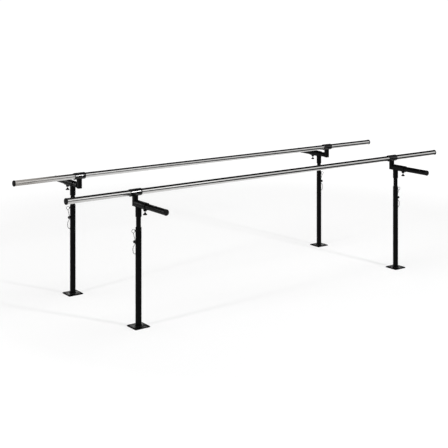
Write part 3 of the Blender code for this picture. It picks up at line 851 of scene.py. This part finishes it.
def rail_cap():
    """Cap for the +X end of a rail, its shoulder at the origin."""
    radius = (rail_cap_high.z - rail_cap_low.z) / 2.0
    length = rail_cap_high.x - rail_high.x - FIT
    bore = RAIL_RADIUS + 0.0002
    lip = turned([
        (bore, -RAIL_CAP_LIP), (radius - FINE_EDGE, -RAIL_CAP_LIP),
        (radius, -RAIL_CAP_LIP + FINE_EDGE), (radius, FINE_EDGE), (bore, FINE_EDGE),
    ])
    cap = end_cap(radius, length, RAIL_RADIUS - RAIL_WALL - FIT, RAIL_CAP_ROUNDING)
    return along_x(together([cap, lip]))


# ---- node helper ----

class Nodes:
    """Short ways to add nodes to one node tree."""

    def __init__(self, tree):
        self.tree = tree

    def feed(self, socket, value):
        """Link an output to a socket, or set the socket to a plain value or colour."""
        if isinstance(value, bpy.types.NodeSocket):
            self.tree.links.new(value, socket)
        elif socket.type == "RGBA":
            socket.default_value = (*value, 1.0)
        else:
            socket.default_value = value

    def add(self, kind, inputs=None, **settings):
        """New node with its settings, and with what its inputs get."""
        made = self.tree.nodes.new("ShaderNode" + kind)
        for key, value in settings.items():
            setattr(made, key, value)
        for key, value in (inputs or {}).items():
            self.feed(made.inputs[key], value)
        return made

    def maths(self, operation, *values):
        return self.add("Math", dict(enumerate(values)), operation=operation).outputs[0]

    def ranged(self, value, low, high, first, last, kind="LINEAR"):
        """Carry low..high over to first..last and stop at both ends."""
        inputs = {"Value": value, "From Min": low, "From Max": high, "To Min": first, "To Max": last}
        return self.add("MapRange", inputs, interpolation_type=kind).outputs["Result"]

    def mixed(self, share, first, second):
        """Blend of two colours."""
        return self.add("Mix", {0: share, 6: first, 7: second}, data_type="RGBA").outputs[2]

    def noise(self, scale, detail=2.0, roughness=0.5, **vector):
        inputs = {"Scale": scale, "Detail": detail, "Roughness": roughness, **vector}
        return self.add("TexNoise", inputs).outputs["Fac"]

    def split(self, output):
        """X, Y and Z of a coordinate of this tree."""
        return self.add("SeparateXYZ", {0: self.add("TexCoord").outputs[output]}).outputs

    def seen(self):
        """One for what the camera sees straight, zero for light and reflections."""
        return self.add("LightPath").outputs["Is Camera Ray"]


# ---- materials ----

NOISE_MIDDLE = (0.3, 0.7)       # the part of a noise's range that is used
PATTERN_SHIFT = (7.3, 3.1, 5.7)
GRAIN_DEPTH = 0.0001
PEEL_DEPTH = 0.0002
SPECULAR = "Specular IOR Level"

BLACK = (0.0012, 0.0012, 0.0013)
BLACK_LIGHT = (0.0026, 0.0026, 0.0027)
WORN_BLACK = (0.0014, 0.0014, 0.0015)
RUB_MARK = (0.007, 0.007, 0.007)
CHARCOAL = (0.004, 0.004, 0.004)
CHARCOAL_LIGHT = (0.008, 0.008, 0.008)
CAP_BLACK = (0.0015, 0.0015, 0.0015)
KNOB_LIGHT = (0.006, 0.006, 0.006)


class Finish(Nodes):
    """Principled material with a pattern that starts elsewhere on every copy."""

    def __init__(self, name, metallic, specular=0.5):
        self.material = bpy.data.materials.new(name)
        self.material.use_nodes = True
        super().__init__(self.material.node_tree)
        self.inputs = self.tree.nodes["Principled BSDF"].inputs
        self.inputs["Metallic"].default_value = metallic
        self.inputs[SPECULAR].default_value = specular
        place = self.add("TexCoord").outputs["Object"]
        chance = self.add("ObjectInfo").outputs["Random"]
        shift = self.add("VectorMath", {0: PATTERN_SHIFT, "Scale": chance}, operation="SCALE")
        self.vector = self.add("VectorMath", {0: place, 1: shift.outputs[0]}, operation="ADD").outputs[0]

    def pattern(self, scale, detail, roughness=0.5, stretch=None):
        vector = self.vector
        if stretch:
            vector = self.add("Mapping", {"Vector": vector, "Scale": stretch}).outputs[0]
        return self.noise(scale, detail, roughness, Vector=vector)

    def clouded(self, scale, detail, dark, light):
        """Base colour that drifts between two shades."""
        cloud = self.ranged(self.pattern(scale, detail), *NOISE_MIDDLE, 0.0, 1.0)
        self.feed(self.inputs["Base Color"], self.mixed(cloud, dark, light))

    def glossed(self, pattern, low, high):
        self.feed(self.inputs["Roughness"], self.ranged(pattern, *NOISE_MIDDLE, low, high))

    def bumped(self, pattern, strength, depth, **normal):
        inputs = {"Height": pattern, "Strength": strength, "Distance": depth, **normal}
        self.feed(self.inputs["Normal"], self.add("Bump", inputs).outputs["Normal"])


def painted(name, roughness, spread, peel, specular):
    """Black powder coat: mottled colour and gloss, orange peel, softened edges."""
    finish = Finish(name, 0.0, specular)
    finish.clouded(38.0, 4.0, BLACK, BLACK_LIGHT)
    finish.glossed(finish.pattern(160.0, 3.0), roughness - spread, roughness + spread)
    rounded = finish.add("Bevel", {"Radius": EDGE}, samples=4).outputs["Normal"]
    finish.bumped(finish.pattern(1100.0, 2.0), peel, PEEL_DEPTH, Normal=rounded)
    return finish


def plate_paint():
    """Thick powder coat with patches of more and less gloss, duller at the plate's rim."""
    finish = painted("plate_powder_coat", 0.26, 0.10, 0.50, 0.45)
    patches = finish.ranged(finish.noise(70.0), 0.44, 0.58, 0.02, 1.0)
    place = finish.split("Object")
    sides = [finish.maths("ABSOLUTE", place[key]) for key in ("X", "Y")]
    off_centre = finish.maths("MAXIMUM", *sides)
    inner = finish.ranged(off_centre, PLATE_HALF - 0.012, PLATE_HALF - 0.006, 1.0, 0.0)
    finish.feed(finish.inputs[SPECULAR], finish.maths("MULTIPLY", patches, inner))
    return finish


def worn_paint():
    """Black paint with faint lengthwise rub marks from sliding in the bush."""
    finish = Finish("inner_tube_paint", 0.0, 0.12)
    marks = finish.pattern(90.0, 5.0, 0.6, (1.0, 1.0, 0.035))
    streak = finish.ranged(marks, 0.52, 0.72, 0.0, 1.0)
    finish.feed(finish.inputs["Base Color"], finish.mixed(streak, WORN_BLACK, RUB_MARK))
    finish.glossed(marks, 0.24, 0.42)
    finish.bumped(marks, 0.08, GRAIN_DEPTH)
    return finish


def moulded(name, dark, light, roughness, specular):
    """Moulded plastic with a fine spark-eroded texture."""
    finish = Finish(name, 0.0, specular)
    finish.clouded(60.0, 3.0, dark, light)
    finish.glossed(finish.pattern(300.0, 2.0), roughness * 0.85, roughness * 1.15)
    finish.bumped(finish.pattern(2200.0, 2.0), 0.10, PEEL_DEPTH)
    return finish


def plated(name, dark, light, roughness, grain, stretch=None):
    """Plated or polished metal with a fine grain and cloudy gloss."""
    finish = Finish(name, 1.0)
    finish.clouded(24.0, 4.0, dark, light)
    lines = finish.pattern(grain, 4.0, 0.6, stretch)
    finish.glossed(lines, roughness * 0.75, roughness * 1.3)
    finish.bumped(lines, 0.06, GRAIN_DEPTH)
    return finish


FINISHES = {
    "plate": plate_paint(),
    "tube": painted("tube_powder_coat", 0.32, 0.04, 0.18, 0.10),
    "inner_tube": worn_paint(),
    "head": painted("head_powder_coat", 0.36, 0.05, 0.20, 0.12),
    "arm": painted("arm_powder_coat", 0.32, 0.04, 0.18, 0.14),
    "riser": painted("riser_powder_coat", 0.32, 0.04, 0.18, 0.12),
    "saddle": painted("saddle_gloss_coat", 0.10, 0.01, 0.005, 0.50),
    "nylon": moulded("bush_nylon", CHARCOAL, CHARCOAL_LIGHT, 0.5, 0.2),
    "arm_cap": moulded("arm_cap_plastic", CHARCOAL, CHARCOAL_LIGHT, 0.42, 0.2),
    "rail_cap": moulded("rail_cap_plastic", CAP_BLACK, CHARCOAL, 0.40, 0.1),
    "pull_knob": moulded("pull_knob_plastic", BLACK, KNOB_LIGHT, 0.34, 0.20),
    "tension_knob": moulded("tension_knob_plastic", BLACK, KNOB_LIGHT, 0.36, 0.20),
    # The zinc of the lock pin, ring and knob stem, and the chain's zinc, are painted far darker than
    # real zinc and than the plunger's plating: painted shade standing in for the dark surroundings they
    # mirror
    "zinc": plated("zinc_plate_painted_dark", (0.10, 0.102, 0.104), (0.17, 0.17, 0.168), 0.32, 900.0),
    "stem": plated("plunger_plate", (0.80, 0.81, 0.82), (0.90, 0.90, 0.89), 0.26, 900.0),
    "chain": plated("chain_zinc", (0.08, 0.082, 0.084), (0.15, 0.15, 0.148), 0.34, 900.0),
    "spring": plated("spring_steel", (0.42, 0.42, 0.43), (0.56, 0.56, 0.57), 0.30, 700.0),
    "rail": plated(
        "rail_stainless", (0.76, 0.755, 0.745), (0.82, 0.815, 0.805), 0.085, 700.0, (1.0, 0.02, 0.02),
    ),
}


# ---- assembly ----

# Piece, its mesh, finish, seat, body and CAD node.  A seat is a place and a turn.
PIECES = [
    ("foot_plate", foot_plate, "plate", "square", "uprights", "base_plate"),
    ("foot_weld", foot_weld, "plate", "along", "uprights", "base_plate"),
    ("post_tube", post_tube, "tube", "along", "uprights", "outer_tube"),
    ("knob_boss_weld", knob_boss_weld, "tube", "along", "uprights", "outer_tube"),
    ("bush", bush, "nylon", "along", "uprights", "guide_bush"),
    ("telescoping_tube", inner_tube, "inner_tube", "square", "{side}_lift", "inner_tube"),
    ("head_weldment", head, "head", "across", "{side}_lift", "head"),
    ("head_welds", head_welds, "head", "across", "{side}_lift", "head"),
    ("slide_arm_tube", slide_arm, "arm", "slid", "{side}_rail_set", "slide_arm"),
    ("arm_end_disc", arm_end_disc, "arm", "slid", "{side}_rail_set", "slide_arm"),
    ("arm_end_cap", arm_cap, "arm_cap", "slid", "{side}_rail_set", "arm_cap"),
    ("riser_tube", riser, "riser", "slid", "{side}_rail_set", "riser"),
    ("rail_saddle", saddle, "saddle", "slid", "{side}_rail_set", "riser"),
    ("riser_welds", riser_welds, "riser", "slid", "{side}_rail_set", "riser"),
    ("plunger", plunger, "stem", "pin", "width_pin_body_{name}", "width_pin"),
    ("pull_knob", pull_knob, "pull_knob", "pin", "width_pin_body_{name}", "width_pin"),
    ("plunger_spring", spring, "spring", "across", "{side}_lift", "width_spring"),
    ("lock_pin", lock_pin, "zinc", "along", "height_pin_body_{name}", "height_pin"),
    ("pull_ring", pull_ring, "zinc", "along", "height_pin_body_{name}", "height_pin"),
    ("tension_knob", tension_knob, "tension_knob", "along", "height_knob_body_{name}", "height_knob"),
    ("knob_stem", knob_stem, "zinc", "along", "height_knob_body_{name}", "height_knob"),
    ("anchor_screw", anchor_screw, "chain", "along", "uprights", "lanyard_chain"),
]

# Part names that these pieces carry in place of their finish
SLOTS = {"rail_saddle": "riser", "plunger": "pull_knob", "knob_stem": "tension_knob"}


def finished(name, solid, finish):
    """Smooth mesh of a piece, its edges kept sharp, with its material."""
    mesh = as_mesh(name, solid)
    mesh.shade_smooth()
    mesh.set_sharp_from_angle(angle=SHARP_ANGLE)
    mesh.materials.append(FINISHES[finish].material)
    return mesh


def shown(name, mesh, place, turn, body, node, slot):
    """One visible piece, turned about its upright, riding on a CAD body."""
    item = in_scene(name, mesh)
    item.location = place
    item.rotation_euler = (0.0, 0.0, turn)
    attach(item, body)
    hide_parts(node)
    return item


def seats_of(name, along, across):
    """Places and turns of the upright, of its rail set and of its plunger."""
    post = centre_of(f"base_plate_{name}")
    post.z = 0.0
    # the far rail set may be slid in, so its pieces follow their own slide arm
    slid = post.copy()
    slid.y = centre_of(f"slide_arm_{name}").y - (arm_low.y + arm_high.y) / 2.0 * math.cos(across)
    pin = centre_of(f"width_pin_{name}")
    pin.z = 0.0
    return {
        "square": (post, 0.0),
        "along": (post, along),
        "across": (post, across),
        "slid": (slid, across),
        "pin": (pin, 0.0),
    }


def squeezed_spring(item, name):
    """The spring gets its own copy of the mesh."""
    low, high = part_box(f"width_spring_{name}")
    foot = (low + high) / 2.0
    foot.z = low.z
    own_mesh(item)


def hung_chain(name, links, place, along):
    """A copy of the lanyard, from the anchor screw up to the lock pin, placed and turned at its upright
    and fixed in the world.
    """
    item = in_scene(f"chain_{name}", finished("chain", links.copy(), "chain"))
    turn = Matrix.Translation(place) @ Matrix.Rotation(along, 4, "Z")
    item.matrix_world = turn
    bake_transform(item)
    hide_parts(f"lanyard_chain_{name}")


def build_uprights():
    meshes = {piece: finished(piece, make(), finish) for piece, make, finish, *rest in PIECES}
    links = chain_links()
    for name, along, across in UPRIGHTS:
        seats = seats_of(name, along, across)
        side = name.split("_")[0]
        for piece, make, finish, seat, body, node in PIECES:
            item = shown(
                f"{piece}_{name}", meshes[piece], *seats[seat],
                body.format(side=side, name=name), f"{node}_{name}", SLOTS.get(piece, finish),
            )
            if piece == "plunger_spring":
                squeezed_spring(item, name)
        hung_chain(name, links, *seats["along"])


def build_rails():
    tube_mesh = finished("handrail", rail_tube(), "rail")
    cap_mesh = finished("handrail_cap", rail_cap(), "rail_cap")
    for side in ("near", "far"):
        body = f"{side}_rail_set"
        low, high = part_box(f"rail_{side}")
        middle = (low + high) / 2.0
        shown(f"handrail_{side}", tube_mesh, middle, 0.0, body, f"rail_{side}", "rail")
        for end, edge, turn in (("right", high.x + FIT, 0.0), ("left", low.x - FIT, math.pi)):
            place = Vector((edge, middle.y, middle.z))
            node = f"rail_cap_{side}_{end}"
            shown(f"handrail_cap_{side}_{end}", cap_mesh, place, turn, body, node, "rail_cap")


build_uprights()
build_rails()


# ---- studio ----

WHITE = (1.0, 1.0, 1.0)
NOTHING = (0.0, 0.0, 0.0)

# Camera, level, with a vertical lens shift as for architecture
CAMERA_PLACE = Vector((-4.0658, -5.2365, 1.8698))
CAMERA_YAW = math.radians(-36.65)
CAMERA_LENS = 78.58
CAMERA_SHIFT = -0.48895

# Floor.  It glows so that it meets the backdrop without a visible horizon.
FLOOR_HALF = 60.0
FLOOR_SHADES = (0.34, 0.37)
FLOOR_CLOUD = 0.6
FLOOR_GLOW_SEEN = (0.592, 0.99)     # near the bars and far off, as the camera sees it
FLOOR_ROUND = (1.7, 5.0)            # distances from the bars between those two
FLOOR_BEHIND = (-0.3, 7.2)          # and the same, straight away from the camera
FLOOR_GLOW_UNSEEN = (0.06, 0.60)    # in front of the bars and under them, as a lamp
FLOOR_EDGE_Y = (-1.75, -1.25)

# Walls that the rails mirror.  Angles are in degrees up and over the room, seen
# along the rails: 0 in front, 90 overhead, 180 behind.  X is that of a direction.
ROOM_BANDS = (
    (-180.0, 0.45), (-120.0, 0.84), (-75.0, 0.80), (-35.0, 0.62), (0.0, 0.64), (42.0, 0.80),
    (56.0, 0.50), (66.0, 0.01), (110.0, 0.005), (150.0, 0.005), (172.0, 0.01), (180.0, 0.08),
)
DARK_BAND_X = (0.52, 0.733)
DARK_BAND_ANGLE = (5.0, -50.0)
DARK_BAND_WIDTH = (18.0, 40.0)
DARK_BAND_SOFT = (0.7, 1.3)
DARK_BAND_SHADE = (0.012, 0.012, 0.012)
DARK_TOP_ANGLE = 120.0
DARK_TOP_WIDTH = (52.0, 74.0)
DARK_TOP_SOFT = (0.9, 1.1)
DARK_TOP_SHADE = (0.003, 0.003, 0.003)
WALL_EDGE_X = (0.425, 0.452)
WALL_END_X = (0.30, 0.36)
WALL_SHADE = (0.44, 0.42, 0.40)
BEYOND_DIMMING = 0.2
BACKDROP = 1.05


def floor_glow(nodes):
    """Seen, the floor brightens with distance.  As a lamp it is dim in front of the bars."""
    place = nodes.add("TexCoord").outputs["Object"]
    away = (-math.sin(CAMERA_YAW), math.cos(CAMERA_YAW), 0.0)
    faded = []
    for operation, span in (("LENGTH", FLOOR_ROUND), ("DOT_PRODUCT", FLOOR_BEHIND)):
        reach = nodes.add("VectorMath", {0: place, 1: away}, operation=operation)
        faded.append(nodes.ranged(reach.outputs["Value"], *span, *FLOOR_GLOW_SEEN))
    seen = nodes.maths("MAXIMUM", *faded)
    y = nodes.split("Object")["Y"]
    unseen = nodes.ranged(y, *FLOOR_EDGE_Y, *FLOOR_GLOW_UNSEEN, "SMOOTHSTEP")
    return nodes.add("Mix", {0: nodes.seen(), 2: unseen, 3: seen}).outputs[0]


def floor_paint():
    """Matt studio white with faint clouds."""
    material = bpy.data.materials.new("floor_paint")
    material.use_nodes = True
    nodes = Nodes(material.node_tree)
    inputs = nodes.tree.nodes["Principled BSDF"].inputs
    nodes.feed(inputs["Base Color"], nodes.ranged(nodes.noise(FLOOR_CLOUD), 0.0, 1.0, *FLOOR_SHADES))
    inputs["Roughness"].default_value = 0.9
    inputs[SPECULAR].default_value = 0.0
    nodes.feed(inputs["Emission Strength"], floor_glow(nodes))
    return material


def studio_floor():
    """Plain pale floor, which the rails don't mirror: they mirror the walls all round."""
    solid = bmesh.new()
    bmesh.ops.create_grid(solid, x_segments=1, y_segments=1, size=FLOOR_HALF)
    mesh = as_mesh("floor", solid)
    mesh.materials.append(floor_paint())
    item = in_scene("floor", mesh)
    item.location.z = CAD_LOW.z
    item.visible_glossy = False


def room_bands(nodes, tilt):
    """Pale and dark bands by the angle round the room."""
    room = nodes.add("ValToRGB", {0: nodes.ranged(tilt, -180.0, 180.0, 0.0, 1.0)})
    bands = room.color_ramp.elements
    while len(bands) < len(ROOM_BANDS):
        bands.new(0.5)
    for band, (angle, shade) in zip(bands, ROOM_BANDS):
        band.position = (angle + 180.0) / 360.0
        band.color = (shade, shade, shade, 1.0)
    return room.outputs["Color"]


def dark_band(nodes, below, tilt, angle, width, soft, shade):
    """Dark band of the given half width round an angle, over the bands below."""
    off = nodes.maths("ABSOLUTE", nodes.maths("SUBTRACT", tilt, angle))
    share = nodes.maths("DIVIDE", off, width)
    return nodes.mixed(nodes.ranged(share, *soft, 1.0, 0.0, "SMOOTHSTEP"), below, shade)


def studio_walls(nodes):
    """Banded room at high X, then a strip of grey wall, then the same room dimmed."""
    place = nodes.split("Generated")
    x = place["X"]
    # angle up and over the room, in degrees
    tilt = nodes.maths("ARCTAN2", place["Z"], nodes.maths("MULTIPLY", place["Y"], -1.0))
    tilt = nodes.maths("MULTIPLY", tilt, 180.0 / math.pi)
    angle = nodes.ranged(x, *DARK_BAND_X, *DARK_BAND_ANGLE)
    width = nodes.ranged(x, *DARK_BAND_X, *DARK_BAND_WIDTH)
    top_width = nodes.ranged(x, *DARK_BAND_X, *DARK_TOP_WIDTH)
    banded = room_bands(nodes, tilt)
    banded = dark_band(nodes, banded, tilt, angle, width, DARK_BAND_SOFT, DARK_BAND_SHADE)
    banded = dark_band(nodes, banded, tilt, DARK_TOP_ANGLE, top_width, DARK_TOP_SOFT, DARK_TOP_SHADE)
    beyond = nodes.mixed(BEYOND_DIMMING, banded, NOTHING)
    right_of_wall = nodes.ranged(x, *WALL_EDGE_X, 0.0, 1.0, "SMOOTHSTEP")
    this_side = nodes.ranged(x, *WALL_END_X, 0.0, 1.0, "SMOOTHSTEP")
    return nodes.mixed(this_side, beyond, nodes.mixed(right_of_wall, WALL_SHADE, banded))


def studio_world():
    """Pale backdrop for the camera, and studio walls for light and reflections."""
    world = bpy.data.worlds.new("studio")
    bpy.context.scene.world = world
    world.use_nodes = True
    world.node_tree.nodes.clear()
    nodes = Nodes(world.node_tree)
    walls = nodes.add("Background", {"Color": studio_walls(nodes)}).outputs[0]
    backdrop = nodes.add("Background", {"Color": WHITE, "Strength": BACKDROP}).outputs[0]
    mix = nodes.add("MixShader", {0: nodes.seen(), 1: walls, 2: backdrop}).outputs[0]
    nodes.add("OutputWorld", {"Surface": mix})


def softbox(name, location, target, size, power, onto=None, mirrored=True):
    """Rectangular area lamp, which may light chosen pieces alone or stay out of mirrors."""
    lamp = bpy.data.lights.new(name, "AREA")
    lamp.shape = "RECTANGLE"
    lamp.size, lamp.size_y = size
    lamp.energy = power
    item = in_scene(name, lamp)
    item.location = location
    item.rotation_euler = (Vector(target) - Vector(location)).to_track_quat("-Z", "Y").to_euler()
    item.visible_glossy = mirrored
    if onto is not None:
        group = bpy.data.collections.new(f"{name}_onto")
        for piece in bpy.data.objects:
            if piece.name.startswith(onto):
                group.objects.link(piece)
        item.light_linking.receiver_collection = group


def studio_lights():
    """Softboxes, each with its place, aim, size and power."""
    foot = (0.0, 0.0, 0.0)
    softbox("softbox_strip", (0.3, -2.9, 2.10), (-1.0, -0.3, 0.77), (2.8, 0.55), 420.0, "rail_saddle")
    softbox("softbox_front", (1.1, -3.4, 2.45), (-1.0, 0.0, 0.7), (1.6, 0.9), 4.0)
    softbox("softbox_back", (-3.1, 2.3, 1.60), (0.0, -0.5, 0.7), (3.0, 0.5), 26.0)
    softbox("softbox_low", (3.6, 4.9, 1.75), foot, (5.0, 0.7), 24.0, "foot_plate")
    softbox("softbox_top", (0.0, -0.4, 4.2), foot, (3.6, 2.0), 90.0, mirrored=False)
    softbox("softbox_key", (1.6, -5.4, 2.3), foot, (0.4, 0.4), 260.0, mirrored=False)
    softbox("softbox_fill", (-6.4, -0.6, 2.3), foot, (0.4, 0.4), 190.0, mirrored=False)


def camera():
    """Level camera whose lens shift belongs to its own place alone.

    A view from anywhere else is centred, so the shift follows the camera's height.
    """
    data = bpy.data.cameras.new("camera")
    data.lens = CAMERA_LENS
    data.shift_y = CAMERA_SHIFT
    item = in_scene("camera", data)
    item.location = CAMERA_PLACE
    item.rotation_euler = (math.pi / 2.0, 0.0, CAMERA_YAW)
    driver = data.driver_add("shift_y").driver
    driver.type = "SCRIPTED"
    height = driver.variables.new()
    height.name = "height"
    height.type = "TRANSFORMS"
    height.targets[0].id = item
    height.targets[0].transform_type = "LOC_Z"
    driver.expression = f"{CAMERA_SHIFT} if abs(height - {CAMERA_PLACE.z:.4f}) < 0.0005 else 0.0"
    bpy.context.scene.camera = item


studio_floor()
studio_world()
studio_lights()
camera()
bpy.context.scene.view_settings.view_transform = "Standard"
